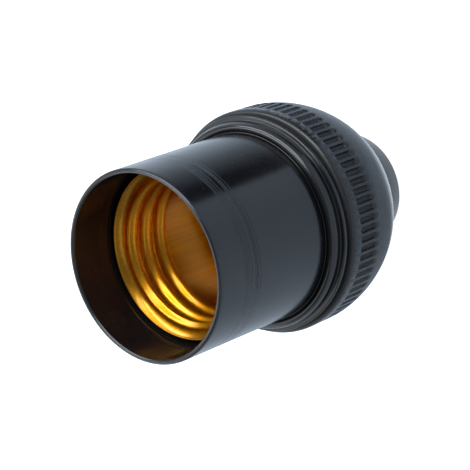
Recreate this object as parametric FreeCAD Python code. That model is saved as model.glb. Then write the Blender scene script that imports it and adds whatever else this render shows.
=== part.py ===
import FreeCAD, Part
import math
import os

# A three-piece screw lamp holder, in millimetres. It stands on the end of its neck, mouth up:
# Z is the holder's axis and the origin is the centre of the neck's end face.

# --- moulded cap -------------------------------------------------------------------------------
overall_height = 58.0
cap_radius = 19.85
cap_height = 27.9
cap_wall = 1.9
rim_base = 21.2
rim_edge_round = 0.8
dome_swell = 2.1
neck_radius = 10.3
neck_height = 4.9
neck_bevel = 0.5
floor_thickness = 1.8
mouth_chamfer = 0.4
grip_slots = 76
grip_slot_width = 0.9
grip_slot_depth = 0.4
grip_slot_taper = 0.2
grip_slot_length = 4.3
seat_rib_count = 6
seat_rib_width = 2.2
seat_rib_reach = 2.3
seat_rib_first = 30.0
key_rib_width = 3.2
key_rib_rise = 2.2

# --- moulded skirt -----------------------------------------------------------------------------
tube_radius = 16.25
tube_draft = 0.32
mouth_wall = 0.87
mouth_bevel = 0.26
bead_width = 1.65
bead_rise = 0.75
bead_height = 1.3
bead_bevel = 0.55
collar_reach = 0.85
collar_thickness = 0.85
collar_bevel = 0.25
spigot_clearance = 0.3
spigot_chamfer = 0.5

# --- how the three pieces close on each other ---------------------------------------------------
core_seat = 19.6
flange_thickness = 3.0
clamp_gap = 0.1
seat_relief = 0.6
closing_gap = 0.5

# --- porcelain core ----------------------------------------------------------------------------
core_clearance = 0.45
core_top_rise = 1.6
core_foot = 12.4
core_foot_radius = 13.4
core_foot_width = 14.0
pocket_roof = 18.4
pocket_clearance = 0.2
key_clearance = 0.3

# --- rolled brass screw shell --------------------------------------------------------------------
sheet = 0.35
lip_depth = 8.9
lip_gap = 0.33
lip_flare = 1.0
thread_pitch = 3.629
thread_round = 1.025
thread_minor_radius = 12.25
thread_crest_width = 0.9
thread_ridge_width = 2.8
thread_turns = 2.3
thread_lead_in = 2.76
shell_floor_hole = 8.5
floor_bend = 0.6

# --- contacts, terminals and fasteners ------------------------------------------------------------
contact_sheet = 0.4
contact_width = 5.0
contact_rise = 3.0
contact_foot_start = -7.2
contact_foot_end = -2.8
contact_apex = 0.8
contact_tip = 4.0
contact_tip_drop = 1.3
contact_bend = 0.8
contact_rivet_place = -5.4
terminal_start = 3.9
terminal_end = 12.4
terminal_width = 5.6
wire_hole_place = 8.4
wire_hole_radius = 1.3
wire_hole_depth = 4.8
clamp_screw_height = 2.2
clamp_screw_radius = 1.5
clamp_head_radius = 2.3
clamp_head_height = 1.5
thread_play = 0.05
wire_grip = 0.9
head_gap = 0.2
slot_width = 0.6
slot_depth = 0.7
rivet_radius = 1.0
rivet_head_radius = 1.6
rivet_head_height = 0.7
rivet_play = 0.05
rivet_in_terminal = 2.2
shell_rivet_circle = 10.8
shell_rivet_angles = (120.0, 240.0)
washer_radius = 2.1
washer_thickness = 0.5

# --- threaded entry ------------------------------------------------------------------------------
entry_minor_radius = 4.459
bushing_radius = 6.6
bushing_flange_radius = 7.8
bushing_flange_height = 1.0
neck_screw_radius = 1.5
neck_screw_length = 4.4
neck_screw_sink = 0.4

# --- places that follow from the sizes above ------------------------------------------------------
floor_top = neck_height + floor_thickness
cap_bore = cap_radius - cap_wall
spigot_radius = cap_bore - spigot_clearance
flange_top = core_seat + flange_thickness
skirt_foot = flange_top + clamp_gap
core_top = flange_top + core_top_rise
collar_foot = cap_height + closing_gap
collar_top = collar_foot + collar_thickness
tube_foot = collar_top + bead_height
tube_foot_radius = tube_radius + tube_draft
bead_radius = tube_foot_radius + bead_width
collar_radius = bead_radius + collar_reach
bore = tube_radius - mouth_wall
lip_top = overall_height - lip_depth
thread_depth = 2 * (thread_round - math.sqrt(thread_round ** 2 - (thread_pitch / 4) ** 2))
thread_major_radius = thread_minor_radius + thread_depth
thread_foot = lip_top - thread_lead_in - thread_turns * thread_pitch
clamp_screw_level = core_foot + clamp_screw_height
neck_screw_level = neck_height / 2

ORIGIN = FreeCAD.Vector(0, 0, 0)
X_AXIS = FreeCAD.Vector(1, 0, 0)
Y_AXIS = FreeCAD.Vector(0, 1, 0)
Z_AXIS = FreeCAD.Vector(0, 0, 1)


class Outline:
    """A closed outline in the X-Z plane, drawn from point to point."""

    def __init__(self, x, z):
        self.first = FreeCAD.Vector(x, 0, z)
        self.last = self.first
        self.edges = []

    def line(self, x, z):
        end = FreeCAD.Vector(x, 0, z)
        self.edges.append(Part.LineSegment(self.last, end).toShape())
        self.last = end

    def arc(self, middle, end):
        middle = FreeCAD.Vector(middle[0], 0, middle[1])
        end = FreeCAD.Vector(end[0], 0, end[1])
        self.edges.append(Part.Arc(self.last, middle, end).toShape())
        self.last = end

    def corner(self, x, z, radius, next_x, next_z):
        """A line towards a corner and a tangent arc round it, aimed at the next point."""
        tip = FreeCAD.Vector(x, 0, z)
        back = (self.last - tip).normalize()
        ahead = (FreeCAD.Vector(next_x, 0, next_z) - tip).normalize()
        half = back.getAngle(ahead) / 2
        inward = (back + ahead).normalize()
        start = tip + back * (radius / math.tan(half))
        middle = tip + inward * (radius / math.sin(half) - radius)
        end = tip + ahead * (radius / math.tan(half))
        self.line(start.x, start.z)
        self.arc((middle.x, middle.z), (end.x, end.z))

    def bevel(self, x, z, size, next_x, next_z):
        """A line towards a corner that is cut off by a small bevel, aimed at the next point."""
        tip = FreeCAD.Vector(x, 0, z)
        start = tip + (self.last - tip).normalize() * size
        end = tip + (FreeCAD.Vector(next_x, 0, next_z) - tip).normalize() * size
        self.line(start.x, start.z)
        self.line(end.x, end.z)

    def face(self):
        if self.last.distanceToPoint(self.first) > Part.Precision.confusion():
            self.line(self.first.x, self.first.z)
        return Part.Face(Part.Wire(self.edges))

    def revolve(self):
        return self.face().revolve(ORIGIN, Z_AXIS, 360)


def rod(radius, length, base, direction=Z_AXIS):
    return Part.makeCylinder(radius, length, base, direction)


def block(x_low, x_high, width, z_low, z_high):
    """A box centred on the X-Z plane."""
    corner = FreeCAD.Vector(x_low, -width / 2, z_low)
    return Part.makeBox(x_high - x_low, width, z_high - z_low, corner)


def turned(shape, degrees):
    copy = shape.copy()
    copy.rotate(ORIGIN, Z_AXIS, degrees)
    return copy


def ring_of(shape, count, first=0.0):
    step = 360.0 / count
    return [turned(shape, first + step * index) for index in range(count)]


# --- cap ----------------------------------------------------------------------------------------

def dome_circle():
    """Centre and radius of the circle whose arc is the outside of the dome."""
    low = FreeCAD.Vector(neck_radius, 0, neck_height)
    high = FreeCAD.Vector(cap_radius, 0, rim_base)
    chord = high - low
    radius = (chord.Length ** 2 / 4 + dome_swell ** 2) / (2 * dome_swell)
    inward = FreeCAD.Vector(-chord.z, 0, chord.x).normalize()
    centre = (low + high) * 0.5 + inward * (radius - dome_swell)
    return centre, radius


def on_circle(centre, radius, x, z):
    """The point of a circle that lies towards (x, z)."""
    return centre + (FreeCAD.Vector(x, 0, z) - centre).normalize() * radius


def add_arc(shape, centre, radius, end):
    """Draws the short arc of a known circle from the outline's last point to the end."""
    halfway = (shape.last + end) * 0.5
    middle = on_circle(centre, radius, halfway.x, halfway.z)
    shape.arc((middle.x, middle.z), (end.x, end.z))


def cap_outside():
    centre, radius = dome_circle()
    shape = Outline(0, 0)
    shape.bevel(neck_radius, 0, neck_bevel, neck_radius, neck_height)
    shape.line(neck_radius, neck_height)
    add_arc(shape, centre, radius, FreeCAD.Vector(cap_radius, 0, rim_base))
    shape.corner(cap_radius, cap_height, rim_edge_round, 0, cap_height)
    shape.line(0, cap_height)
    return shape.revolve()


def cap_hollow():
    """The hollow of the cap: two tapers one wall inside the dome, and a bore down past the core."""
    centre, radius = dome_circle()
    radius -= cap_wall
    shoulder = core_seat - seat_relief
    floor_reach = centre.x + math.sqrt(radius ** 2 - (centre.z - floor_top) ** 2)
    middle = on_circle(centre, radius, (floor_reach + cap_bore) / 2, (floor_top + shoulder) / 2)
    shape = Outline(0, floor_top)
    shape.line(floor_reach, floor_top)
    shape.line(middle.x, middle.z)
    shape.line(cap_bore, shoulder)
    shape.line(cap_bore, cap_height - mouth_chamfer)
    shape.line(cap_bore + mouth_chamfer, cap_height)
    shape.line(0, cap_height)
    return shape.revolve()


def seat_ribs(hollow):
    """Ribs inside the dome that carry the core, and two key ribs that stop it turning."""
    inner = cap_bore - seat_rib_reach
    outer = cap_radius - cap_wall / 2
    seat = block(inner, outer, seat_rib_width, floor_top, core_seat)
    key = block(inner, outer, key_rib_width, floor_top, core_seat + key_rib_rise)
    ribs = ring_of(seat, seat_rib_count, seat_rib_first) + ring_of(key, 2, 90.0)
    return [rib.common(hollow) for rib in ribs]


def grip_cutters():
    """One slot with sloping sides for each place round the rim."""
    bottom = cap_radius - grip_slot_depth
    half = grip_slot_width / 2
    corners = [
        FreeCAD.Vector(bottom, half - grip_slot_taper, rim_base),
        FreeCAD.Vector(cap_radius + grip_slot_depth, half + grip_slot_taper, rim_base),
        FreeCAD.Vector(cap_radius + grip_slot_depth, -half - grip_slot_taper, rim_base),
        FreeCAD.Vector(bottom, grip_slot_taper - half, rim_base),
    ]
    section = Part.Face(Part.makePolygon(corners + corners[:1]))
    return ring_of(section.extrude(Z_AXIS * grip_slot_length), grip_slots)


def neck_screw_rod(radius, end):
    """A rod along the locking screw's axis, from the holder's axis outwards."""
    return rod(radius, end, FreeCAD.Vector(0, 0, neck_screw_level), Y_AXIS)


def make_cap():
    hollow = cap_hollow()
    body = cap_outside().cut(hollow)
    body = body.fuse(seat_ribs(hollow))
    body = body.cut(rod(bushing_radius, floor_top, ORIGIN))
    body = body.cut(neck_screw_rod(neck_screw_radius + thread_play, neck_radius))
    return body.cut(grip_cutters()).removeSplitter()


# --- skirt --------------------------------------------------------------------------------------

def make_skirt():
    shape = Outline(bore, skirt_foot)
    shape.line(spigot_radius - spigot_chamfer, skirt_foot)
    shape.line(spigot_radius, skirt_foot + spigot_chamfer)
    shape.line(spigot_radius, collar_foot)
    shape.bevel(collar_radius, collar_foot, collar_bevel, collar_radius, collar_top)
    shape.bevel(collar_radius, collar_top, collar_bevel, bead_radius, collar_top)
    shape.line(bead_radius, collar_top)
    shape.line(bead_radius, tube_foot)
    shape.line(bead_radius - bead_bevel, tube_foot + bead_rise)
    shape.line(tube_foot_radius + bead_bevel, tube_foot + bead_rise)
    shape.line(tube_foot_radius, tube_foot)
    shape.bevel(tube_radius, overall_height, mouth_bevel, bore, overall_height)
    shape.bevel(bore, overall_height, mouth_bevel, bore, skirt_foot)
    return shape.revolve()


# --- porcelain core -----------------------------------------------------------------------------

def terminal_pocket():
    start = terminal_start - pocket_clearance
    return block(start, core_foot_radius, terminal_width + 2 * pocket_clearance, core_foot, pocket_roof)


def rivet_hole(x, low, high):
    return rod(rivet_radius + rivet_play, high - low, FreeCAD.Vector(x, 0, low))


def make_core():
    flange = rod(cap_bore - core_clearance, flange_thickness, FreeCAD.Vector(0, 0, core_seat))
    top = rod(bore - core_clearance, core_top_rise, FreeCAD.Vector(0, 0, flange_top))
    foot = rod(core_foot_radius, core_seat - core_foot, FreeCAD.Vector(0, 0, core_foot))
    foot = foot.common(block(-core_foot_radius, core_foot_radius, core_foot_width, core_foot, core_seat))
    body = flange.fuse([top, foot])
    body = body.cut(ring_of(terminal_pocket(), 2))
    notch = block(cap_bore - seat_rib_reach - key_clearance, cap_bore,
                  key_rib_width + 2 * key_clearance, core_seat, flange_top)
    body = body.cut(ring_of(notch, 2, 90.0))
    body = body.cut(rivet_hole(contact_rivet_place, core_foot, core_top))
    body = body.cut(rivet_hole(shell_rivet_circle, core_foot, core_top))
    hole = rivet_hole(shell_rivet_circle, core_foot, core_top)
    return body.cut([turned(hole, angle) for angle in shell_rivet_angles]).removeSplitter()


# --- screw shell --------------------------------------------------------------------------------

def thread_band(inset, root):
    """A band swept along the thread out to a root radius, inside the ridge's surface by an inset."""
    slope = (thread_ridge_width - thread_crest_width) / 2 / thread_depth
    crest = thread_minor_radius + inset
    crest_half = thread_crest_width / 2 + inset * (slope - math.hypot(1, slope))
    root_half = crest_half + (root - crest) * slope
    section = Outline(root, -root_half)
    section.line(crest, -crest_half)
    section.line(crest, crest_half)
    section.line(root, root_half)
    inset_turns = inset / (2 * math.pi * thread_minor_radius)
    length = (thread_turns - 2 * inset_turns) * thread_pitch
    path = Part.makeHelix(thread_pitch, length, thread_minor_radius)
    sweep = Part.BRepOffsetAPI.MakePipeShell(Part.Wire(path.Edges))
    sweep.setFrenetMode(True)
    sweep.add(section.face().OuterWire)
    sweep.build()
    sweep.makeSolid()
    band = turned(sweep.shape(), 360.0 * inset_turns)
    band.translate(Z_AXIS * (thread_foot + inset_turns * thread_pitch))
    return band


def rolled_thread(cup):
    """The thread rolled into a cup: a ridge inside, and a groove one sheet behind it outside."""
    ridge = thread_band(0, thread_major_radius + sheet / 2)
    groove = thread_band(sheet, thread_major_radius + 2 * sheet)
    return cup.fuse(ridge).cut(groove)


def make_shell():
    """A sheet brass cup with a flared lip and a rolled thread; its floor is open in the middle."""
    inside = thread_major_radius
    outside = inside + sheet
    lip_edge = bore - lip_gap
    shape = Outline(shell_floor_hole, core_top)
    shape.line(outside - floor_bend, core_top)
    shape.line(outside, core_top + floor_bend)
    shape.line(outside, lip_top - lip_flare - sheet)
    shape.line(lip_edge, lip_top - sheet)
    shape.line(lip_edge, lip_top)
    shape.line(lip_edge - sheet, lip_top)
    shape.line(inside, lip_top - lip_flare)
    shape.line(inside, core_top + sheet)
    shape.line(shell_floor_hole, core_top + sheet)
    body = rolled_thread(shape.revolve())
    hole = rivet_hole(shell_rivet_circle, core_top, core_top + sheet)
    return body.cut([turned(hole, angle) for angle in (0.0,) + shell_rivet_angles])


# --- contacts and terminals ---------------------------------------------------------------------

def make_centre_contact():
    """A bent spring strip: its foot lies on the core and its arm rises over the axis."""
    under = core_top + contact_rise - contact_sheet
    shape = Outline(contact_foot_start, core_top)
    shape.corner(contact_foot_end, core_top, contact_bend + contact_sheet, contact_apex, under)
    shape.corner(contact_apex, under, contact_bend, contact_tip, under - contact_tip_drop)
    shape.line(contact_tip, under - contact_tip_drop)
    strip = Part.Wire(shape.edges).makeOffset2D(contact_sheet, fill=True, openResult=True)
    body = strip.extrude(Y_AXIS * contact_width)
    body.translate(Y_AXIS * (-contact_width / 2))
    return body.cut(rivet_hole(contact_rivet_place, core_top, core_top + contact_sheet))


def make_terminal(rivet_place):
    """A brass block with a wire hole from below, a clamp screw from outside and a rivet hole above."""
    body = block(terminal_start, terminal_end, terminal_width, core_foot, pocket_roof)
    wire = rod(wire_hole_radius, wire_hole_depth, FreeCAD.Vector(wire_hole_place, 0, core_foot))
    thread = rod(clamp_screw_radius + thread_play, terminal_end - wire_hole_place,
                 FreeCAD.Vector(wire_hole_place, 0, clamp_screw_level), X_AXIS)
    rivet = rivet_hole(rivet_place, pocket_roof - rivet_in_terminal, pocket_roof)
    return body.cut([wire, thread, rivet])


def slotted_end(radius, reach, depth):
    """The screwdriver slot across a screw's end, for a screw along X."""
    return Part.makeBox(depth, 2 * radius, slot_width, FreeCAD.Vector(reach - depth, -radius, -slot_width / 2))


def make_clamp_screw():
    start = wire_hole_place + wire_grip
    head = terminal_end + head_gap
    end = head + clamp_head_height
    shank = rod(clamp_screw_radius, head - start, FreeCAD.Vector(start, 0, 0), X_AXIS)
    cheese = rod(clamp_head_radius, clamp_head_height, FreeCAD.Vector(head, 0, 0), X_AXIS)
    body = shank.fuse(cheese).cut(slotted_end(clamp_head_radius, end, slot_depth))
    body.translate(Z_AXIS * clamp_screw_level)
    return body.removeSplitter()


def make_neck_screw():
    end = neck_radius - neck_screw_sink
    body = rod(neck_screw_radius, neck_screw_length, FreeCAD.Vector(end - neck_screw_length, 0, 0), X_AXIS)
    body = body.cut(slotted_end(neck_screw_radius, end, slot_depth))
    body.translate(Z_AXIS * neck_screw_level)
    return turned(body, 90.0)


def make_rivet(x, low, high, closed_end):
    """A rivet with a domed head on top, and a closed head below if it has one."""
    shank = rod(rivet_radius, high - low, FreeCAD.Vector(x, 0, low))
    heads = [riveted_head(x, high, 1)]
    if closed_end:
        heads.append(riveted_head(x, low, -1))
    return shank.fuse(heads).removeSplitter()


def riveted_head(x, level, side):
    top = rivet_head_radius - rivet_head_height
    base = FreeCAD.Vector(x, 0, level)
    return Part.makeCone(rivet_head_radius, top, rivet_head_height, base, Z_AXIS * side)


def make_shell_rivets():
    low = core_seat - washer_thickness
    rivet = make_rivet(shell_rivet_circle, low, core_top + sheet, True)
    return Part.makeCompound([turned(rivet, angle) for angle in shell_rivet_angles])


def make_washers():
    base = FreeCAD.Vector(shell_rivet_circle, 0, core_seat - washer_thickness)
    disc = rod(washer_radius, washer_thickness, base)
    disc = disc.cut(rod(rivet_radius + rivet_play, washer_thickness, base))
    return Part.makeCompound([turned(disc, angle) for angle in shell_rivet_angles])


# --- threaded entry -----------------------------------------------------------------------------

def make_bushing():
    """A metal bushing pressed in the neck, with a flange on the cap's inner floor."""
    body = rod(bushing_radius, floor_top, ORIGIN)
    flange = rod(bushing_flange_radius, bushing_flange_height, FreeCAD.Vector(0, 0, floor_top))
    body = body.fuse(flange).cut(rod(entry_minor_radius, floor_top + bushing_flange_height, ORIGIN))
    return body.cut(neck_screw_rod(neck_screw_radius + thread_play, neck_radius)).removeSplitter()


# --- all pieces ---------------------------------------------------------------------------------

def lamp_holder():
    """Every piece of the holder by its node name."""
    terminal_rivet_end = pocket_roof - rivet_in_terminal
    contact_rivet = make_rivet(contact_rivet_place, terminal_rivet_end, core_top + contact_sheet, False)
    shell_rivet = make_rivet(shell_rivet_circle, terminal_rivet_end, core_top + sheet, False)
    clamp_screw = make_clamp_screw()
    return {
        "cap": make_cap(),
        "entry_bushing": make_bushing(),
        "neck_screw": make_neck_screw(),
        "skirt": make_skirt(),
        "insulator_core": make_core(),
        "screw_shell": make_shell(),
        "centre_contact": make_centre_contact(),
        "centre_contact_rivet": contact_rivet,
        "shell_terminal_rivet": shell_rivet,
        "shell_rivets": make_shell_rivets(),
        "rivet_washers": make_washers(),
        "centre_terminal": turned(make_terminal(-contact_rivet_place), 180.0),
        "shell_terminal": make_terminal(shell_rivet_circle),
        "centre_terminal_screw": turned(clamp_screw, 180.0),
        "shell_terminal_screw": clamp_screw,
    }


os.makedirs("parts", exist_ok=True)
for name, piece in lamp_holder().items():
    piece.exportStep(f"parts/{name}.step")
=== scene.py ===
import logging
import math
from dataclasses import dataclass, field
from enum import Enum
from typing import Callable, NamedTuple, Sequence

import bpy
from mathutils import Matrix, Vector


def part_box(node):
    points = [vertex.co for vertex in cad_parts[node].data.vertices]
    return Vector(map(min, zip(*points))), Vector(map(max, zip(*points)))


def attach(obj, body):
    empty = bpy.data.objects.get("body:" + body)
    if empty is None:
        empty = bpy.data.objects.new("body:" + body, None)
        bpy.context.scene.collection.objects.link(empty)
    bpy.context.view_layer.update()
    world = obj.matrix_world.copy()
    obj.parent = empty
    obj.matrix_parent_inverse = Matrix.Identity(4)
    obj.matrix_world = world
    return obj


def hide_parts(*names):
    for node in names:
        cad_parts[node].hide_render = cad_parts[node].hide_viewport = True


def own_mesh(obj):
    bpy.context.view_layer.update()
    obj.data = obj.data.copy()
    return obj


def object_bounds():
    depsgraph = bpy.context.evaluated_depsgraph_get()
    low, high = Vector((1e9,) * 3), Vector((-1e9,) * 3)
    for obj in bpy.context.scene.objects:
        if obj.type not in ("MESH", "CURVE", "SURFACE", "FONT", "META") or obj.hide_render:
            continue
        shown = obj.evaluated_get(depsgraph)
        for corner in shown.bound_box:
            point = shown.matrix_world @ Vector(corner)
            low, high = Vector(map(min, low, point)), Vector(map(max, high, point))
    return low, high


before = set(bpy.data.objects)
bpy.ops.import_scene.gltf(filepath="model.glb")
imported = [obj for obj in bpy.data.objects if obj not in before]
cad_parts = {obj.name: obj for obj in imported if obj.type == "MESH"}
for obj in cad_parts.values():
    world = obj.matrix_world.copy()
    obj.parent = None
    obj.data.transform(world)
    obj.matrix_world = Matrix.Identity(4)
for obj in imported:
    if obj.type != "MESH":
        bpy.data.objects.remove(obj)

LOG = logging.getLogger("lamp_holder")
MM = 0.001
FULL_TURN = 2 * math.pi
CAD_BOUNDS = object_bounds()
WHITE = (1.0, 1.0, 1.0)

Point = tuple[float, float]
Colour = tuple[float, float, float]
Place = tuple[float, float, float]
Range = tuple[float, float]
Socket = bpy.types.NodeSocket
Relief = Callable[[float, float, float], float]


class Corner(NamedTuple):
    """A corner of a turned outline, in millimetres."""

    radius: float
    level: float
    rounding: float = 0.0


class Sheen(Enum):
    """How a metal piece was finished."""

    ROLLED = "rolled"
    TURNED = "turned"
    PLATED = "plated"


# --- outlines and turned meshes ----------------------------


def rounded(corners: Sequence[Corner], steps: int = 6) -> list[Point]:
    """Lays an arc round each corner of a closed outline.

    Args:
        corners: The corners in order, each with its own rounding radius.
        steps: Points on each arc.

    Returns:
        The outline's points as (radius, level) pairs.
    """
    points: list[Point] = []
    count = len(corners)
    for index, corner in enumerate(corners):
        tip = Vector((corner.radius, corner.level))
        if corner.rounding <= 0:
            points.append((tip.x, tip.y))
            continue
        before = corners[index - 1]
        after = corners[(index + 1) % count]
        back = (Vector((before.radius, before.level)) - tip).normalized()
        ahead = (Vector((after.radius, after.level)) - tip).normalized()
        half = back.angle(ahead) / 2
        centre = tip + (back + ahead).normalized() * (corner.rounding / math.sin(half))
        start = tip + back * (corner.rounding / math.tan(half)) - centre
        sweep = math.pi - 2 * half
        side = 1.0 if back.cross(ahead) < 0 else -1.0
        for step in range(steps + 1):
            angle = side * sweep * step / steps
            turned = Matrix.Rotation(angle, 2) @ start
            points.append((centre.x + turned.x, centre.y + turned.y))
    return points


def divided(points: Sequence[Point], longest: float) -> list[Point]:
    """Divides the long runs of a closed outline.

    Args:
        points: The outline's points.
        longest: The longest run that may stay, in millimetres.

    Returns:
        The outline with points added along its long runs.
    """
    result: list[Point] = []
    for index, start in enumerate(points):
        end = points[(index + 1) % len(points)]
        parts = max(1, math.ceil(math.dist(start, end) / longest))
        for part in range(parts):
            share = part / parts
            result.append((start[0] + (end[0] - start[0]) * share,
                           start[1] + (end[1] - start[1]) * share))
    return result


def turned_mesh(name: str, outline: Sequence[Point], segments: int, relief: Relief | None = None,
                crease: float = 40.0) -> bpy.types.Object:
    """Turns a closed outline round the holder's axis.

    Args:
        name: Name of the new piece.
        outline: The outline as (radius, level) pairs, in millimetres.
        segments: Number of steps round the axis.
        relief: Gives the change of radius, in millimetres, at a turn, radius and level.
        crease: Edges sharper than this angle, in degrees, stay sharp.

    Returns:
        The piece, linked to the scene.
    """
    vertices = []
    for step in range(segments):
        turn = step / segments
        cosine = math.cos(FULL_TURN * turn)
        sine = math.sin(FULL_TURN * turn)
        for radius, level in outline:
            reach = radius + (relief(turn, radius, level) if relief else 0.0)
            vertices.append((reach * cosine * MM, reach * sine * MM, level * MM))
    return finished_mesh(name, vertices, ring_faces(segments, len(outline), segments), crease)


def ring_faces(rings: int, count: int, joints: int) -> list[tuple[int, ...]]:
    """Joins equal rings of vertices with faces of four corners.

    Args:
        rings: Number of rings.
        count: Vertices in each ring.
        joints: Joints to make, one more than the gaps if the last ring meets the first.

    Returns:
        Vertex indices of each face.
    """
    faces = []
    for joint in range(joints):
        here = joint * count
        there = (joint + 1) % rings * count
        for row in range(count):
            above = (row + 1) % count
            faces.append((here + row, there + row, there + above, here + above))
    return faces


def finished_mesh(name: str, vertices: Sequence[Sequence[float]], faces: Sequence[Sequence[int]],
                  crease: float) -> bpy.types.Object:
    """Makes a smooth-shaded object with outward faces.

    Args:
        name: Name of the object.
        vertices: Places in metres.
        faces: Vertex indices of each face.
        crease: Edges sharper than this angle, in degrees, stay sharp.

    Returns:
        The object, linked to the scene.
    """
    mesh = bpy.data.meshes.new(name)
    mesh.from_pydata(vertices, [], faces)
    mesh.validate()
    mesh.shade_smooth()
    mesh.set_sharp_from_angle(angle=math.radians(crease))
    piece = bpy.data.objects.new(name, mesh)
    bpy.context.scene.collection.objects.link(piece)
    return piece


def eased(share: float) -> float:
    """A share from 0 to 1 with soft ends."""
    held = min(1.0, max(0.0, share))
    return held * held * (3 - 2 * held)


# --- shader building ---------------------------------------


class Graph:
    """Adds and joins the nodes of one node tree."""

    def __init__(self, tree: bpy.types.NodeTree) -> None:
        """Takes over a node tree and clears it."""
        self.tree = tree
        tree.nodes.clear()

    def add(self, kind: str, values: dict[str | int, object] | None = None,
            **settings: object) -> bpy.types.Node:
        """Adds a node.

        Args:
            kind: Node type without its ShaderNode prefix.
            values: Value, colour or source socket of each input, by its name or its place.
            **settings: Attributes to set on the node.

        Returns:
            The node.
        """
        node = self.tree.nodes.new("ShaderNode" + kind)
        for key, value in settings.items():
            setattr(node, key, value)
        self.feed(node, values or {})
        return node

    def feed(self, node: bpy.types.Node, values: dict[str | int, object]) -> None:
        """Sets the inputs of a node or joins them to their sources.

        Args:
            node: The node.
            values: Value, colour or source socket of each input, by its name or its place.
        """
        for key, value in values.items():
            target = node.inputs[key]
            if isinstance(value, Socket):
                self.tree.links.new(value, target)
            elif target.type == "RGBA":
                target.default_value = (*value, 1.0)
            else:
                target.default_value = value

    def maths(self, operation: str, first: object, second: object = 0.0) -> Socket:
        """Adds a maths node.

        Args:
            operation: Name of the operation.
            first: A socket or a number.
            second: A socket or a number.

        Returns:
            The result socket.
        """
        return self.add("Math", {0: first, 1: second}, operation=operation).outputs[0]

    def times(self, first: object, second: object) -> Socket:
        """One value times another."""
        return self.maths("MULTIPLY", first, second)

    def most(self, first: object, second: object) -> Socket:
        """The larger of two values."""
        return self.maths("MAXIMUM", first, second)

    def spread(self, value: Socket, low: float, high: float) -> Socket:
        """Maps a value from 0 to 1 onto a range.

        Args:
            value: The socket to map.
            low: Result at 0.
            high: Result at 1.

        Returns:
            The result socket.
        """
        return self.add("MapRange", {"To Min": low, "To Max": high, "Value": value}).outputs["Result"]

    def ramp(self, value: Socket, start: float, end: float) -> Socket:
        """Rises from 0 where the value is at the start to 1 where it's at the end.

        Args:
            value: The value to follow.
            start: Value that gives 0.
            end: Value that gives 1, which may be the smaller one.

        Returns:
            The result socket.
        """
        return self.add("MapRange", {"From Min": start, "From Max": end, "Value": value}).outputs["Result"]

    def noise(self, place: Socket, scale: float | Socket, detail: float = 3.0) -> Socket:
        """Adds a noise texture.

        Args:
            place: Coordinates in millimetres.
            scale: Cells to the millimetre.
            detail: Octaves.

        Returns:
            The noise value.
        """
        return self.add("TexNoise", {"Scale": scale, "Detail": detail, "Vector": place}).outputs["Fac"]

    def axes(self, place: Socket) -> tuple[Socket, Socket, Socket]:
        """Splits a place into its X, Y and Z."""
        return tuple(self.add("SeparateXYZ", {0: place}).outputs)

    def stretched(self, place: Socket, spacing: Socket, scale: Place,
                  rotation: Place = (0.0, 0.0, 0.0)) -> Socket:
        """Adds a noise texture that is stretched along an axis.

        Args:
            place: Coordinates in millimetres.
            spacing: Cells to the millimetre, before the stretch.
            scale: Factors along the three axes.
            rotation: Turn round the three axes, in radians.

        Returns:
            The noise value.
        """
        mapping = self.add("Mapping", {"Rotation": rotation, "Scale": scale, "Vector": place})
        return self.noise(mapping.outputs["Vector"], spacing, 1.0)

    def blend(self, factor: Socket, first: Colour | Socket, second: Colour | Socket) -> Socket:
        """Mixes two colours.

        Args:
            factor: Share of the second colour.
            first: Colour at 0, or its socket.
            second: Colour at 1, or its socket.

        Returns:
            The colour socket.
        """
        return self.add("Mix", {0: factor, 6: first, 7: second}, data_type="RGBA").outputs[2]


def effect_group(name: str, values: dict[str, float],
                 output: str) -> tuple[Graph, bpy.types.Node, bpy.types.Node]:
    """Starts a shader node group with the input Place and one value as its output.

    Args:
        name: Name of the group.
        values: Name and default of each further input.
        output: Name of the output.

    Returns:
        The graph, the group's input node and its output node.
    """
    tree = bpy.data.node_groups.new(name, "ShaderNodeTree")
    tree.interface.new_socket("Place", in_out="INPUT", socket_type="NodeSocketVector")
    for title, value in values.items():
        socket = tree.interface.new_socket(title, in_out="INPUT", socket_type="NodeSocketFloat")
        socket.default_value = value
    tree.interface.new_socket(output, in_out="OUTPUT", socket_type="NodeSocketFloat")
    graph = Graph(tree)
    return graph, tree.nodes.new("NodeGroupInput"), tree.nodes.new("NodeGroupOutput")


def hairlines_group() -> bpy.types.NodeTree:
    """Fine scratches that run in several directions.

    Returns:
        The group, with the inputs Place and Spacing and the output Mask.
    """
    turns = (0.35, 1.25, 2.4)
    stretch = (0.12, 6.0, 6.0)
    least, contrast = 0.66, 7.0
    graph, entry, leave = effect_group("hairlines", {"Spacing": 1.0}, "Mask")
    total = None
    for turn in turns:
        noise = graph.stretched(entry.outputs["Place"], entry.outputs["Spacing"], stretch,
                                (turn, turn * 0.7, turn * 1.9))
        line = graph.times(graph.maths("SUBTRACT", noise, least), contrast)
        line = graph.most(line, 0.0)
        total = line if total is None else graph.most(total, line)
    graph.feed(leave, {"Mask": graph.maths("MINIMUM", total, 1.0)})
    return graph.tree


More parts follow.
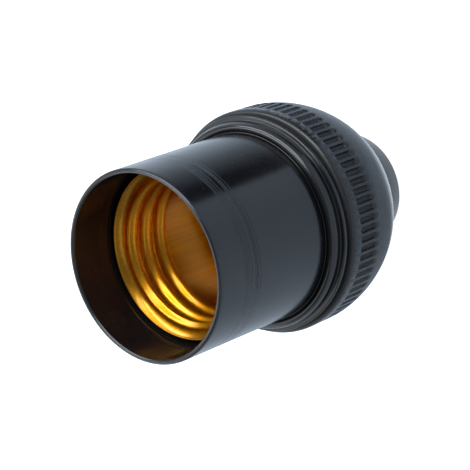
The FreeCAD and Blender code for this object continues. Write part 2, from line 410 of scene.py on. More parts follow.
def turned_lines_group() -> bpy.types.NodeTree:
    """Rings left by a tool round the axis, between two levels.

    Returns:
        The group, with the inputs Place, Low, High and Spacing and the output Height.
    """
    wander_cells, wander_size, fade = 0.12, 0.5, 0.5
    graph, entry, leave = effect_group(
        "turned_lines", {"Low": 0.0, "High": 1.0, "Spacing": 0.4}, "Height")
    place = entry.outputs["Place"]
    wander = graph.noise(place, wander_cells, 2.0)
    level = graph.maths("ADD", graph.axes(place)[2], graph.times(wander, wander_size))
    along = graph.maths("DIVIDE", level, entry.outputs["Spacing"])
    rings = graph.add("TexNoise", noise_dimensions="1D")
    graph.feed(rings, {"Scale": 1.0, "Detail": 2.0, "W": along})
    above = graph.maths("SUBTRACT", level, entry.outputs["Low"])
    below = graph.maths("SUBTRACT", entry.outputs["High"], level)
    inside = graph.maths("MINIMUM", graph.maths("MINIMUM", above, below), fade)
    inside = graph.times(graph.most(inside, 0.0), 1 / fade)
    graph.feed(leave, {"Height": graph.times(rings.outputs["Fac"], inside)})
    return graph.tree


def ring_marks_group(levels: Sequence[float], width: float) -> bpy.types.NodeTree:
    """Single fine grooves round the axis.

    Args:
        levels: The level of each groove, in millimetres.
        width: Half the width of a groove, in millimetres.

    Returns:
        The group, with the input Place and the output Mask.
    """
    wander_cells, wander_size, wander_middle = 0.06, 0.08, 0.03
    graph, entry, leave = effect_group("ring_marks", {}, "Mask")
    place = entry.outputs["Place"]
    wander = graph.times(graph.noise(place, wander_cells, 1.0), wander_size)
    height = graph.maths("ADD", graph.axes(place)[2], wander)
    total = None
    for level in levels:
        apart = graph.maths("ABSOLUTE", graph.maths("SUBTRACT", height, level + wander_middle))
        mark = graph.maths("SUBTRACT", 1.0, graph.maths("DIVIDE", apart, width))
        mark = graph.most(mark, 0.0)
        total = mark if total is None else graph.most(total, mark)
    graph.feed(leave, {"Mask": total})
    return graph.tree


def streaks_group() -> bpy.types.NodeTree:
    """Fine streaks along the axis, as drawing leaves in sheet metal.

    Returns:
        The group, with the inputs Place and Spacing and the output Mask.
    """
    stretch = (3.0, 3.0, 0.06)
    graph, entry, leave = effect_group("drawn_streaks", {"Spacing": 1.0}, "Mask")
    streaks = graph.stretched(entry.outputs["Place"], entry.outputs["Spacing"], stretch)
    graph.feed(leave, {"Mask": streaks})
    return graph.tree


def placed_group(graph: Graph, tree: bpy.types.NodeTree, place: Socket,
                 **values: float) -> Socket:
    """Places a shared effect in a material.

    Args:
        graph: The material's graph.
        tree: The effect's group.
        place: Coordinates in millimetres.
        **values: Values of the group's other inputs.

    Returns:
        The group's output.
    """
    node = graph.add("Group", node_tree=tree)
    graph.feed(node, {"Place": place} | {title.capitalize(): value for title, value in values.items()})
    return node.outputs[0]


def millimetre_place(graph: Graph) -> Socket:
    """Coordinates of the surface in the holder's frame, in millimetres."""
    place = graph.add("TexCoord").outputs["Object"]
    return graph.add("Mapping", {"Scale": (1 / MM,) * 3, "Vector": place}).outputs["Vector"]


def radius_and_level(graph: Graph, place: Socket) -> tuple[Socket, Socket]:
    """Splits a place into its distance from the holder's axis and its level.

    Args:
        graph: The graph to build in.
        place: The place, in millimetres.

    Returns:
        The radius and the level.
    """
    x, y, level = graph.axes(place)
    squares = [graph.maths("POWER", reach, 2.0) for reach in (x, y)]
    return graph.maths("SQRT", graph.maths("ADD", *squares)), level


def new_material(name: str, roughness: float) -> tuple[bpy.types.Material, Graph, bpy.types.Node]:
    """Starts a material with a Principled shader.

    Args:
        name: Name of the material.
        roughness: Plain roughness of the shader.

    Returns:
        The material, its graph and its shader.
    """
    material = bpy.data.materials.new(name)
    material.use_nodes = True
    graph = Graph(material.node_tree)
    shader = graph.add("BsdfPrincipled", {"Roughness": roughness})
    graph.add("OutputMaterial", {"Surface": shader.outputs[0]})
    return material, graph, shader


def add_bump(graph: Graph, shader: bpy.types.Node, heights: Sequence[tuple[Socket, float]]) -> None:
    """Adds up heights and feeds them to a shader as bump.

    Args:
        graph: The material's graph.
        shader: The Principled shader.
        heights: Each height from 0 to 1 with its size in millimetres.
    """
    total = None
    for height, size in heights:
        part = graph.times(height, size * MM)
        total = part if total is None else graph.maths("ADD", total, part)
    bump = graph.add("Bump", {"Strength": 1.0, "Distance": 1.0, "Height": total})
    graph.feed(shader, {"Normal": bump.outputs["Normal"]})


@dataclass(frozen=True)
class Effects:
    """The effects that several finishes share."""

    hairlines: bpy.types.NodeTree = field(default_factory=hairlines_group)
    turned_lines: bpy.types.NodeTree = field(default_factory=turned_lines_group)
    streaks: bpy.types.NodeTree = field(default_factory=streaks_group)


@dataclass(frozen=True)
class BlackMoulding:
    """Polished black thermoset, with flow marks, hairlines and a band of tool rings."""

    name: str
    dark: Colour = (0.004, 0.0042, 0.005)
    light: Colour = (0.007, 0.0075, 0.009)
    refraction: float = 1.56
    roughness: Range = (0.13, 0.22)
    scratch_wear: float = 0.12
    scratch_depth: float = 0.0004
    ripple_cells: float = 0.35
    ripple_height: float = 0.005
    recess: float = 0.0
    recess_fade: float = 0.33
    recess_levels: Range = (21.2, 21.45)
    recess_wear: float = 0.55
    grooves: tuple[float, ...] = ()
    groove_width: float = 0.09
    groove_depth: float = 0.03
    ring_levels: Range = (32.0, 57.0)
    ring_height: float = 0.003

    def material(self, effects: Effects) -> bpy.types.Material:
        """Builds the material.

        Args:
            effects: The shared effects.

        Returns:
            The material.
        """
        material, graph, shader = new_material(self.name, self.roughness[0])
        place = millimetre_place(graph)
        flow = graph.noise(place, 0.16, 4.0)
        scratches = placed_group(graph, effects.hairlines, place, spacing=0.5)
        worn = graph.maths("ADD", graph.spread(flow, *self.roughness),
                           graph.times(scratches, self.scratch_wear))
        if self.recess:
            radius, level = radius_and_level(graph, place)
            under = graph.ramp(radius, self.recess, self.recess - self.recess_fade)
            matt = graph.maths("MINIMUM", under, graph.ramp(level, *self.recess_levels))
            worn = graph.maths("ADD", worn, graph.times(matt, self.recess_wear))
        graph.feed(shader, {"IOR": self.refraction, "Roughness": worn,
                            "Base Color": graph.blend(flow, self.dark, self.light)})
        ripple = graph.noise(place, self.ripple_cells, 2.0)
        heights = [(ripple, self.ripple_height), (scratches, -self.scratch_depth)]
        if self.grooves:
            marks = placed_group(graph, ring_marks_group(self.grooves, self.groove_width), place)
            heights.append((marks, -self.groove_depth))
            low, high = self.ring_levels
            rings = placed_group(graph, effects.turned_lines, place, low=low, high=high, spacing=0.5)
            heights.append((rings, -self.ring_height))
        add_bump(graph, shader, heights)
        return material


@dataclass(frozen=True)
class ShellPaintedShade:
    """Painted shade on the shell's brass: darker in the thread's valleys, at the lip and deep in the cup.
    """

    lip_level: float
    colour: Colour = (0.45, 0.19, 0.004)
    lip_rise: float = 0.9
    lip_radii: Range = (15.1, 14.7)
    lip_streaks: Range = (0.5, 1.3)
    valley_radii: Range = (12.6, 13.25)
    valley_levels: Range = (37.8, 38.8)
    valley_share: float = 0.7
    deep_levels: Range = (38.4, 37.4)
    deep_drift: Range = (0.5, 0.9)

    def mask(self, graph: Graph, place: Socket, streaks: Socket, drift: Socket) -> Socket:
        """Builds the mask of the painted shade.

        Args:
            graph: The material's graph.
            place: Coordinates in millimetres.
            streaks: The rolling streaks.
            drift: The colour's drift.

        Returns:
            The mask socket.
        """
        # Painted shade: darkening in the valleys, at the lip (streaked) and deep in the cup.
        radius, level = radius_and_level(graph, place)
        valley = graph.times(graph.ramp(radius, *self.valley_radii), graph.ramp(level, *self.valley_levels))
        lip = graph.times(graph.ramp(level, self.lip_level, self.lip_level + self.lip_rise),
                          graph.spread(streaks, *self.lip_streaks))
        lip = graph.times(lip, graph.ramp(radius, *self.lip_radii))
        deep = graph.times(graph.ramp(level, *self.deep_levels), graph.spread(drift, *self.deep_drift))
        upper = graph.most(graph.times(valley, self.valley_share), lip)
        return graph.most(upper, deep)


@dataclass(frozen=True)
class Metal:
    """A bare metal with colour drift and its tool, rolling or plating marks."""

    name: str
    bright: Colour
    dull: Colour
    sheen: Sheen
    roughness: Range
    lacquer: float = 0.0
    # Painted shade in the shell's valleys, at its lip and deep in its cup.
    painted_shade: ShellPaintedShade | None = None
    lacquer_roughness: float = 0.1
    streak_drift: Range = (-0.9, 1.9)
    streak_height: float = 0.0008
    scratch_wear: float = 0.1
    scratch_depth: float = 0.001
    anisotropy: float = 0.6
    anisotropy_turn: float = 0.25

    @property
    def grain(self) -> Range:
        """The grain's cells to the millimetre and its height in millimetres."""
        return (3.0, 0.003) if self.sheen is Sheen.TURNED else (1.2, 0.002)

    def material(self, effects: Effects) -> bpy.types.Material:
        """Builds the material.

        Args:
            effects: The shared effects.

        Returns:
            The material.
        """
        material, graph, shader = new_material(self.name, self.roughness[0])
        place = millimetre_place(graph)
        drift = graph.noise(place, 0.22, 4.0)
        heights = []
        wear = graph.spread(drift, *self.roughness)
        painted_shade_mask = None
        if self.sheen is Sheen.ROLLED:
            streaks = placed_group(graph, effects.streaks, place, spacing=0.7)
            drift = graph.maths("ADD", drift, graph.spread(streaks, *self.streak_drift))
            drift = graph.times(drift, 0.5)
            heights.append((streaks, self.streak_height))
            # Mask of the painted shade.
            if self.painted_shade:
                painted_shade_mask = self.painted_shade.mask(graph, place, streaks, drift)
        else:
            scratches = placed_group(graph, effects.hairlines, place, spacing=0.8)
            wear = graph.maths("ADD", wear, graph.times(scratches, self.scratch_wear))
            heights.append((scratches, -self.scratch_depth))
            cells, height = self.grain
            heights.append((graph.noise(place, cells), height))
        colour = graph.blend(drift, self.bright, self.dull)
        if painted_shade_mask:
            way = graph.add("Tangent", direction_type="RADIAL", axis="Z").outputs["Tangent"]
            graph.feed(shader, {"Tangent": way, "Anisotropic": self.anisotropy,
                                "Anisotropic Rotation": self.anisotropy_turn})
            # Painted shade: the brass darkens to the shade's colour under the mask.
            colour = graph.blend(painted_shade_mask, colour, self.painted_shade.colour)
        graph.feed(shader, {"Metallic": 1.0, "Coat Weight": self.lacquer, "Base Color": colour,
                            "Coat Roughness": self.lacquer_roughness, "Roughness": wear})
        add_bump(graph, shader, heights)
        return material


@dataclass(frozen=True)
class Porcelain:
    """Off-white pressed porcelain with a thin glaze and small specks."""

    name: str
    body: Colour = (0.72, 0.69, 0.62)
    shade: Colour = (0.60, 0.56, 0.48)
    roughness: Range = (0.22, 0.4)
    speck_threshold: float = 0.73
    grain_height: float = 0.012

    def material(self, effects: Effects) -> bpy.types.Material:
        """Builds the material.

        Args:
            effects: The shared effects; not used.

        Returns:
            The material.
        """
        material, graph, shader = new_material(self.name, 0.3)
        place = millimetre_place(graph)
        cloud = graph.noise(place, 0.3, 5.0)
        specks = graph.maths("GREATER_THAN", graph.noise(place, 4.0, 1.0), self.speck_threshold)
        drift = graph.most(cloud, specks)
        graph.feed(shader, {"Base Color": graph.blend(drift, self.body, self.shade),
                            "Roughness": graph.spread(cloud, *self.roughness)})
        add_bump(graph, shader, [(graph.noise(place, 1.6), self.grain_height)])
        return material


# --- sub-assemblies ----------------------------------------


def node_span(node: str) -> tuple[float, float, float]:
    """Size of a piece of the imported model.

    Args:
        node: Its name.

    Returns:
        Its lowest level, its highest level and its largest radius, in millimetres.
    """
    low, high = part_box(node)
    return low[2] / MM, high[2] / MM, high[0] / MM


def seat(piece: bpy.types.Object, node: str, body: str, material: bpy.types.Material) -> None:
    """Puts a detailed piece in the place of a packed one.

    Args:
        piece: The detailed piece.
        node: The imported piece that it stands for.
        body: The body that it moves with.
        material: Its finish.
    """
    piece.data.materials.append(material)
    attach(piece, body)
    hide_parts(node)
    LOG.info("%s: %d faces", piece.name, len(piece.data.polygons))


@dataclass
class Skirt:
    """The moulded tube with its bead, collar and threaded spigot."""

    foot: float
    mouth: float
    collar_radius: float
    tube_radius: float = 16.25
    tube_foot_radius: float = 16.57
    bore: float = 15.38
    mouth_rounding: float = 0.4
    bead_radius: float = 18.22
    bead_rise: float = 0.75
    collar_foot: float = 28.4
    collar_top: float = 29.25
    collar_rounding: float = 0.25
    bead_level: float = 30.55
    spigot_radius: float = 17.65
    spigot_rounding: float = 0.5
    thread_depth: float = 0.8
    thread_pitch: float = 3.0
    longest_run: float = 0.6
    segments: int = 224

    def outline(self) -> list[Point]:
        """The section of the skirt, from the mouth down the outside and up the bore."""
        bead_middle = (self.bead_radius + self.tube_foot_radius) / 2
        bead_top = self.bead_level + self.bead_rise
        corners = [
            Corner(self.bore, self.mouth, self.mouth_rounding),
            Corner(self.tube_radius, self.mouth, self.mouth_rounding),
            Corner(self.tube_foot_radius, self.bead_level, 0.1),
            Corner(self.tube_foot_radius + 0.2, bead_top, 0.7),
            Corner(bead_middle + 0.5, bead_top, 0.75),
            Corner(self.bead_radius, self.bead_level - 0.15, 0.5),
            Corner(self.bead_radius, self.collar_top, 0.15),
            Corner(self.collar_radius, self.collar_top, self.collar_rounding),
            Corner(self.collar_radius, self.collar_foot, self.collar_rounding),
            Corner(self.spigot_radius, self.collar_foot, 0.1),
            Corner(self.spigot_radius, self.foot, self.spigot_rounding),
            Corner(self.bore, self.foot, 0.2),
        ]
        return divided(rounded(corners), self.longest_run)

    def thread_relief(self, turn: float, radius: float, level: float) -> float:
        """Depth of the spigot's coarse thread at a place on the skirt."""
        outside = radius >= self.spigot_radius - 0.6
        if not (outside and self.foot + 0.2 <= level <= self.collar_foot - 0.05):
            return 0.0
        along = (level / self.thread_pitch - turn) % 1.0
        return -self.thread_depth * eased((abs(along - 0.5) - 0.2) * 8)

    def build(self, material: bpy.types.Material) -> None:
        """Builds the skirt and seats it."""
        piece = turned_mesh("skirt_moulding", self.outline(), self.segments, self.thread_relief)
        seat(piece, "skirt", "skirt_body", material)


@dataclass
class Cap:
    """The moulded dome with its gripped rim, its neck and its turned hollow."""

    top: float
    radius: float
    rim_level: float = 21.2
    wall: float = 1.9
    swell: float = 2.1
    neck_radius: float = 10.3
    neck_top: float = 4.9
    neck_bore: float = 6.6
    floor_top: float = 6.7
    slots: int = 76
    slot_depth: float = 0.52
    slot_width: float = 0.95
    slot_length: float = 4.3
    slot_fade: float = 0.3
    slot_segments: int = 12
    edge_rounding: float = 0.8
    dome_steps: int = 30
    hollow_steps: int = 12

    def dome(self, inset: float, steps: int) -> list[Point]:
        """Points on the dome's arc, from the rim to the neck.

        Args:
            inset: Distance inside the outer surface.
            steps: Number of steps along the arc.

        Returns:
            The points.
        """
        low = Vector((self.neck_radius, self.neck_top))
        high = Vector((self.radius, self.rim_level))
        chord = high - low
        radius = (chord.length ** 2 / 4 + self.swell ** 2) / (2 * self.swell)
        centre = (low + high) / 2 + Vector((-chord.y, chord.x)).normalized() * (radius - self.swell)
        first = math.atan2(high.y - centre.y, high.x - centre.x)
        last = math.atan2(low.y - centre.y, low.x - centre.x)
        reach = radius - inset
        points = []
        for step in range(steps + 1):
            angle = first + (last - first) * step / steps
            points.append((centre.x + reach * math.cos(angle), centre.y + reach * math.sin(angle)))
        return points

    def outline(self) -> list[Point]:
        """The section of the cap, down the outside and up the hollow."""
        slot_top = self.rim_level + self.slot_length
        foot = self.rim_level
        levels = [self.top - self.edge_rounding]
        levels += [slot_top + step for step in (0.25, 0.08, -0.08, -0.3)]
        levels += [slot_top - 0.3 - 0.5 * step for step in range(1, 8)]
        levels += [foot + 0.3, foot + 0.08]
        edge = rounded([Corner(self.radius - self.wall, self.top, 0.35),
                        Corner(self.radius, self.top, self.edge_rounding),
                        Corner(self.radius, foot), Corner(self.radius - self.wall, foot)])
        outside = [point for point in edge if point[1] > self.top - 0.85]
        outside += [(self.radius, level) for level in levels]
        outside += self.dome(0.0, self.dome_steps)
        outside += rounded([Corner(self.neck_radius, self.neck_top), Corner(self.neck_radius, 0.0, 0.5),
                            Corner(self.neck_bore, 0.0)])
        hollow = reversed(self.dome(self.wall, self.hollow_steps))
        inner = [point for point in hollow if point[1] > self.floor_top]
        return outside + [(self.neck_bore, self.floor_top)] + inner

    def slot_relief(self, turn: float, radius: float, level: float) -> float:
        """Depth of the grip slots at a place on the rim."""
        if radius < self.radius - 0.6:
            return 0.0
        pitch = FULL_TURN * self.radius / self.slots
        across = abs((turn * self.slots) % 1.0 - 0.5) * pitch
        side = math.sqrt(max(0.0, 1 - (2 * across / self.slot_width) ** 4))
        above = (level - self.rim_level) / self.slot_fade + 0.5
        below = (self.rim_level + self.slot_length - level) / self.slot_fade + 0.5
        return -self.slot_depth * side * eased(min(above, below))

    def build(self, material: bpy.types.Material) -> None:
        """Builds the cap and seats it."""
        segments = self.slots * self.slot_segments
        piece = turned_mesh("cap_moulding", self.outline(), segments, self.slot_relief, 60.0)
        seat(piece, "cap", "cap_body", material)


@dataclass
class ScrewShell:
    """The rolled brass cup with its flared lip and round thread."""

    floor: float
    lip: float
    lip_radius: float
    sheet: float = 0.35
    pitch: float = 3.629
    round_radius: float = 1.025
    minor_radius: float = 12.25
    crest_level: float = 45.05
    thread_top: float = 47.5
    thread_foot: float = 37.6
    fade: float = 1.1
    floor_hole: float = 8.5
    flare: float = 1.5
    flare_power: float = 1.9
    flare_step: float = 0.06
    wall_step: float = 0.15
    segments: int = 192

    @property
    def depth(self) -> float:
        """Depth of the thread from crest to valley."""
        quarter = self.pitch / 4
        return 4 * (self.round_radius - math.sqrt(self.round_radius ** 2 - quarter ** 2)) / 2

    def wave(self, distance: float) -> float:
        """Profile of the round thread: 1 on a crest, -1 in a valley.

        Args:
            distance: Distance along the axis from a crest, in millimetres.

        Returns:
            The height.
        """
        along = abs((distance / self.pitch + 0.5) % 1.0 - 0.5) * self.pitch
        near = min(along, self.pitch / 2 - along)
        drop = self.round_radius - math.sqrt(self.round_radius ** 2 - near ** 2)
        height = 1 - 2 * drop / self.depth
        return height if along <= self.pitch / 4 else -height

    def wall(self, turn: float, level: float) -> float:
        """Inner radius of the sheet at a turn and a level."""
        middle = self.minor_radius + self.depth / 2
        strength = eased(min((level - self.thread_foot) / self.fade, (self.thread_top - level) / self.fade))
        wave = self.wave(level - self.crest_level - self.pitch * turn)
        radius = middle - strength * wave * self.depth / 2
        plain = middle + self.depth / 2
        radius += (1 - strength) * (plain - middle)
        rise = max(0.0, 1 - (self.lip - level) / self.flare)
        return radius + (self.lip_radius - self.sheet - plain) * rise ** self.flare_power

    def levels(self) -> list[float]:
        """Levels of the wall's points, from the lip down."""
        levels = []
        level = self.lip - self.sheet / 2
        while level > self.floor + self.sheet:
            levels.append(level)
            level -= self.flare_step if level > self.lip - self.flare else self.wall_step
        return levels

    def section(self, turn: float, levels: Sequence[float]) -> list[Point]:
        """Outline of the sheet at a turn: down the inside, round the floor and up the outside.

        Args:
            turn: Share of a full turn.
            levels: Levels of the wall's points, from the lip down.

        Returns:
            The outline's points as (radius, level) pairs.
        """
        points: list[Point] = [(self.wall(turn, level), level) for level in levels]
        floor = self.floor + self.sheet
        half = self.sheet / 2
        middle = points[0][0] + half
        reach = points[-1][0]
        points += [(reach - 0.1, floor + 0.02), (reach - 0.3, floor),
                   (self.floor_hole, floor), (self.floor_hole, self.floor),
                   (reach + self.sheet - 0.6, self.floor), (reach + self.sheet - 0.2, self.floor + 0.2)]
        points += [(self.wall(turn, level) + self.sheet, level) for level in reversed(levels[:-3])]
        points += [(middle + half * math.cos(angle), levels[0] + half * math.sin(angle))
                   for angle in (0.5, 1.05, 1.57, 2.1, 2.64)]
        return points

    def build(self, material: bpy.types.Material) -> None:
        """Builds the shell and seats it."""
        levels = self.levels()
        vertices = []
        for step in range(self.segments):
            section = self.section(step / self.segments, levels)
            angle = FULL_TURN * step / self.segments
            vertices += [(r * math.cos(angle) * MM, r * math.sin(angle) * MM, z * MM) for r, z in section]
        faces = ring_faces(self.segments, len(vertices) // self.segments, self.segments)
        piece = finished_mesh("rolled_shell", vertices, faces, 50.0)
        seat(piece, "screw_shell", "core_body", material)


@dataclass
class ContactSpring:
    """The bent brass leaf under the lamp's foot. its crown sinks as the lamp presses it."""

    seat_level: float
    crown_level: float
    sheet: float = 0.4
    width: float = 5.0
    rise: float = 3.0
    foot: float = -7.2
    bend: float = -2.8
    apex: float = 0.8
    tip: float = 4.0
    tip_drop: float = 1.3
    rounding: float = 0.8
    edge: float = 0.1
    travel: float = 1.5

    def section(self) -> list[Point]:
        """Outline of the leaf along its length, as (reach, level) pairs."""
        under = self.seat_level + self.rise - self.sheet
        path = [Vector((self.foot, self.seat_level)), Vector((self.bend, self.seat_level)),
                Vector((self.apex, under)), Vector((self.tip, under - self.tip_drop))]
        ahead = [(after - before).normalized() for before, after in zip(path, path[1:])]
        normals = [Vector((-along.y, along.x)) for along in (ahead[0], *ahead, ahead[-1])]
        over = [point + (one + two) * (self.sheet / (1 + one.dot(two)))
                for point, one, two in zip(path, normals, normals[1:])]
        inner, outer = self.rounding, self.rounding + self.sheet
        low = [Corner(*point, bend) for point, bend in zip(path, (self.edge, outer, inner, self.edge))]
        high = [Corner(*point, bend) for point, bend in zip(over, (self.edge, inner, outer, self.edge))]
        return rounded(low + high[::-1])

    def build(self, material: bpy.types.Material) -> None:
        """Builds the leaf, seats it and gives it its own mesh."""
        section = [Vector(point) for point in self.section()]
        count = len(section)
        along = [(section[(place + 1) % count] - section[place - 1]).normalized() for place in range(count)]
        inset = 0.6 * self.edge
        drawn = [point + Vector((-way.y, way.x)) * inset for point, way in zip(section, along)]
        half = self.width / 2
        rows = [(drawn, -half), (section, inset - half), (section, half - inset), (drawn, half)]
        vertices = [(point.x * MM, across * MM, point.y * MM) for row, across in rows for point in row]
        faces = [tuple(range(count)), tuple(reversed(range(3 * count, 4 * count)))]
        faces += ring_faces(len(rows), count, len(rows) - 1)
        piece = finished_mesh("contact_leaf", vertices, faces, 40.0)
        seat(piece, "centre_contact", "spring_contact", material)
        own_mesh(piece)


@dataclass
class Fittings:
    """The pieces whose packed form is right: they get their finishes."""

    finishes: dict[str, str] = field(default_factory=lambda: {
        "insulator_core": "porcelain",
        "centre_contact_rivet": "terminal_brass",
        "shell_terminal_rivet": "terminal_brass",
        "shell_rivets": "terminal_brass",
        "rivet_washers": "plated_steel",
        "centre_terminal": "terminal_brass",
        "shell_terminal": "terminal_brass",
        "centre_terminal_screw": "plated_steel",
        "shell_terminal_screw": "plated_steel",
        "entry_bushing": "plated_steel",
        "neck_screw": "plated_steel",
    })

    def dress(self, materials: dict[str, bpy.types.Material]) -> None:
        """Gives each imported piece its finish."""
        for node, finish in self.finishes.items():
            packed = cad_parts[node]
            packed.data.materials.clear()
            packed.data.materials.append(materials[finish])
            LOG.info("%s: %s", node, finish)


# --- studio ------------------------------------------------


def hang(lamp: bpy.types.Light, bearing: float, height: float, distance: float, target: Vector,
         glossy: bool = True) -> None:
    """Hangs a lamp round a point, looking at it.

    Args:
        lamp: The lamp.
        bearing: Its bearing in degrees, 0 in front and 90 to the right.
        height: Its height above the horizon, in degrees.
        distance: Its distance, in metres.
        target: The point, in metres.
        glossy: Whether gloss shows it.
    """
    turn, rise = math.radians(bearing), math.radians(height)
    direction = Vector((math.sin(turn) * math.cos(rise), -math.cos(turn) * math.cos(rise), math.sin(rise)))
    body = bpy.data.objects.new(lamp.name, lamp)
    body.location = target + direction * distance
    body.rotation_euler = direction.to_track_quat("Z", "Y").to_euler()
    body.visible_camera = False
    body.visible_glossy = glossy
    bpy.context.scene.collection.objects.link(body)


@dataclass
class SoftBox:
    """An area lamp that looks at the holder; its brightness is that of its face."""

    name: str
    bearing: float
    height: float
    distance: float
    width: float
    length: float
    brightness: float

    def place(self, target: Vector) -> None:
        """Adds the lamp, looking at a target in metres."""
        lamp = bpy.data.lights.new(self.name, "AREA")
        lamp.shape = "RECTANGLE"
        lamp.size = self.width
        lamp.size_y = self.length
        lamp.energy = self.brightness * math.pi * self.width * self.length
        lamp.color = (0.92, 0.96, 1.0)
        hang(lamp, self.bearing, self.height, self.distance, target)


@dataclass(frozen=True)
class Snoot:
    """A narrow beam into the mouth, which wakes the bottom of the brass cup."""

    name: str
    bearing: float
    height: float
    distance: float
    cone: float
    power: float

    def place(self, target: Vector) -> None:
        """Adds the lamp, looking at a target in metres."""
        lamp = bpy.data.lights.new(self.name, "SPOT")
        lamp.spot_size = math.radians(self.cone)
        lamp.spot_blend = 0.5
        lamp.shadow_soft_size = 0.02
        lamp.energy = self.power
        hang(lamp, self.bearing, self.height, self.distance, target, glossy=False)


@dataclass
class Studio:
    """The pale floor, the lamps and the camera, with a floor glow and a dark card that paint reflections
    into the holder's gloss.
    """

    boxes: tuple[SoftBox, ...] = (
        SoftBox("key", 80.0, 40.0, 0.6, 0.75, 0.13, 9.5),
        SoftBox("side", -45.0, 40.0, 0.6, 0.5, 0.12, 0.9),
        SoftBox("rim", 190.0, 22.0, 0.6, 0.8, 0.2, 1.5),
        SoftBox("bead", 98.0, 66.0, 0.6, 0.75, 0.13, 5.2),
        SoftBox("back", 180.0, 48.0, 0.6, 0.6, 0.6, 1.1),
    )
    snoot: Snoot = Snoot("snoot", 110.0, 73.0, 0.6, 1.7, 65.0)
    aim: tuple[float, float, float] = (-0.36, 0.0, 34.87)
    floor_colour: Colour = (0.48, 0.54, 0.62)
    # Tint of the painted reflection glow that glossy rays see on the floor.
    reflection_glow_colour: Colour = (0.8, 0.9, 1.0)
    floor_brightness: float = 0.95
    # Painted reflection: strengths and places of the floor's glow that only glossy rays see.
    corner_reflection_glow: Range = (0.0, 0.32)
    aside: Range = (0.0, 20.0)
    behind: Range = (5.0, 32.0)
    other_side: Range = (5.0, -45.0)
    other_side_reflection_glow: float = 0.16
    near: Range = (16.0, 9.0)
    near_reflection_glow: float = 2.2
    sky_colour: Colour = (0.82, 0.91, 1.0)
    sky_brightness: float = 0.4
    sky_darkening: float = 0.16
    backdrop_top: float = 0.6
    backdrop_fade: float = 0.3
    backdrop_gloss: float = 0.6
    camera_bearing: float = 0.11
    camera_height: float = 47.32
    camera_distance: float = 289.87
    camera_roll: float = 110.9
    camera_lens: float = 131.05

    def floor(self) -> None:
        """Adds the floor, which shows pale and keeps the shadow; glossy rays see a painted glow on it,
        strongest near the holder's foot and raised behind on the right and on the left, which paints
        reflections into the holder.
        """
        mesh = bpy.data.meshes.new("floor")
        half = 1.5
        corners = [(-half, -half, 0), (half, -half, 0), (half, half, 0), (-half, half, 0)]
        mesh.from_pydata(corners, [], [(0, 1, 2, 3)])
        plane = bpy.data.objects.new("floor", mesh)
        bpy.context.scene.collection.objects.link(plane)
        material, graph, shader = new_material("floor_paper", 0.9)
        path = graph.add("LightPath")
        seen = graph.most(path.outputs["Is Camera Ray"], path.outputs["Is Transmission Ray"])
        place = millimetre_place(graph)
        x, y, _ = graph.axes(place)
        # Painted reflection: a glow that only glossy rays see, laid on the floor by place.
        corner = graph.times(graph.ramp(x, *self.aside), graph.ramp(y, *self.behind))
        other = graph.times(graph.ramp(x, *self.other_side), self.other_side_reflection_glow)
        radius, _ = radius_and_level(graph, place)
        near = graph.times(graph.ramp(radius, *self.near), self.near_reflection_glow)
        lift = graph.maths("ADD", graph.spread(corner, *self.corner_reflection_glow), other)
        lift = graph.maths("ADD", lift, near)
        # Only glossy rays see this painted reflection glow.
        painted_reflection = graph.times(path.outputs["Is Glossy Ray"], lift)
        strength = graph.most(graph.times(seen, self.floor_brightness), painted_reflection)
        graph.feed(shader, {"Base Color": self.floor_colour, "Specular IOR Level": 0.0,
                            "Emission Color": graph.blend(seen, self.reflection_glow_colour, WHITE),
                            "Emission Strength": strength})
        mesh.materials.append(material)

    def paint_dark_reflection(self) -> None:
        """Lays a dark card on the floor beside the holder, which only gloss shows: it paints a dark
        reflection into the holder's gloss.
        """
        near, far, first, last, steps = 42.0, 150.0, 40.0, 100.0, 16
        level, first_fade, last_fade = 0.3, 5.0, 42.0
        vertices = []
        for step in range(steps + 1):
            bearing = math.radians(first + (last - first) * step / steps)
            for reach in (near, far):
                x, y = reach * math.sin(bearing), -reach * math.cos(bearing)
                vertices.append((x * MM, y * MM, level * MM))
        faces = [(2 * step, 2 * step + 1, 2 * step + 3, 2 * step + 2) for step in range(steps)]
        card = finished_mesh("dark_reflection_card", vertices, faces, 180.0)
        # Only gloss sees the card: a painted dark reflection that casts no shadow.
        card.visible_camera = False
        card.visible_diffuse = False
        card.visible_shadow = False
        material, graph, shader = new_material("dark_reflection_black", 0.95)
        x, y, _ = graph.axes(millimetre_place(graph))
        turn = graph.maths("ARCTAN2", x, graph.times(y, -1.0))
        rise = graph.maths("SUBTRACT", turn, math.radians(first))
        rise = graph.maths("DIVIDE", rise, math.radians(first_fade))
        fall = graph.maths("SUBTRACT", math.radians(last), turn)
        fall = graph.maths("DIVIDE", fall, math.radians(last_fade))
        edge = graph.maths("MINIMUM", graph.maths("MINIMUM", rise, fall), 1.0)
        cover = graph.most(edge, 0.0)
        graph.feed(shader, {"Base Color": (0.01, 0.01, 0.012), "Specular IOR Level": 0.0, "Alpha": cover})
        card.data.materials.append(material)

    def world(self) -> None:
        """Sets a pale, even surrounding."""
        world = bpy.data.worlds.new("studio")
        world.use_nodes = True
        graph = Graph(world.node_tree)
        background = graph.add("Background")
        graph.add("OutputWorld", {"Surface": background.outputs[0]})
        path = graph.add("LightPath")
        height = graph.axes(graph.add("TexCoord").outputs["Generated"])[2]
        under = graph.maths("SUBTRACT", self.backdrop_top, height)
        low = graph.spread(graph.maths("DIVIDE", under, self.backdrop_fade), 0.0, self.backdrop_gloss)
        lift = graph.times(path.outputs["Is Glossy Ray"],
                           graph.maths("SUBTRACT", low, self.sky_darkening))
        seen = graph.most(path.outputs["Is Camera Ray"], path.outputs["Is Transmission Ray"])
        strength = graph.most(graph.maths("ADD", self.sky_brightness, lift), seen)
        graph.feed(background, {"Color": graph.blend(seen, self.sky_colour, WHITE), "Strength": strength})
        bpy.context.scene.world = world

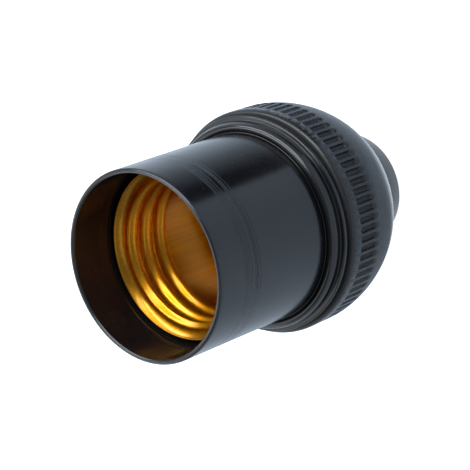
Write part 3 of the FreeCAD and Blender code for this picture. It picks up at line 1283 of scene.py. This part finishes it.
    def camera(self) -> None:
        """Adds the camera."""
        lens = bpy.data.cameras.new("view")
        lens.lens = self.camera_lens
        lens.clip_start = 0.01
        body = bpy.data.objects.new("view", lens)
        bearing = math.radians(self.camera_bearing)
        height = math.radians(self.camera_height)
        back = Vector((math.sin(bearing) * math.cos(height), -math.cos(bearing) * math.cos(height),
                       math.sin(height)))
        right = Vector((0, 0, 1)).cross(back).normalized()
        up = back.cross(right)
        upright = Matrix((right, up, back)).transposed().to_4x4()
        body.matrix_world = (Matrix.Translation(Vector(self.aim) * MM + back * self.camera_distance * MM)
                             @ upright @ Matrix.Rotation(-math.radians(self.camera_roll), 4, "Z"))
        bpy.context.scene.collection.objects.link(body)
        bpy.context.scene.camera = body

    def build(self) -> None:
        """Builds the studio round the holder."""
        self.floor()
        self.paint_dark_reflection()
        self.world()
        middle = Vector((0, 0, (CAD_BOUNDS[0][2] + CAD_BOUNDS[1][2]) / 2))
        for box in self.boxes:
            box.place(middle)
        self.snoot.place(middle)
        self.camera()
        bpy.context.scene.view_settings.view_transform = "Standard"


def all_finishes() -> dict[str, bpy.types.Material]:
    """Builds every finish.

    Returns:
        The materials by the name of their finish.
    """
    effects = Effects()
    finishes = [
        BlackMoulding("skirt_black", grooves=(51.8, 51.4, 50.9, 50.3, 49.4, 49.1, 48.8, 48.2)),
        BlackMoulding("cap_black", roughness=(0.2, 0.3), recess=19.55),
        # The shell's brass gets painted shade in its valleys, at its lip and deep in its cup.
        Metal("shell_brass", (0.93, 0.38, 0.004), (0.72, 0.27, 0.003), Sheen.ROLLED, (0.29, 0.35), 0.45,
              ShellPaintedShade(46.3)),
        Metal("spring_brass", (0.86, 0.60, 0.26), (0.70, 0.44, 0.16), Sheen.PLATED, (0.22, 0.34)),
        Metal("terminal_brass", (0.82, 0.62, 0.30), (0.62, 0.44, 0.18), Sheen.TURNED, (0.28, 0.42)),
        Metal("plated_steel", (0.70, 0.70, 0.68), (0.52, 0.53, 0.54), Sheen.PLATED, (0.25, 0.4)),
        Porcelain("porcelain"),
    ]
    return {finish.name: finish.material(effects) for finish in finishes}


def main() -> None:
    """Builds the holder's pieces in order, then the studio."""
    logging.basicConfig(level=logging.INFO)
    materials = all_finishes()
    foot, mouth, collar = node_span("skirt")
    Skirt(foot, mouth, collar).build(materials["skirt_black"])
    _, rim, radius = node_span("cap")
    Cap(rim, radius).build(materials["cap_black"])
    floor, lip, lip_radius = node_span("screw_shell")
    ScrewShell(floor, lip, lip_radius).build(materials["shell_brass"])
    seat_level, crown, _ = node_span("centre_contact")
    ContactSpring(seat_level, crown).build(materials["spring_brass"])
    Fittings().dress(materials)
    Studio().build()


if __name__ == "__main__":
    main()
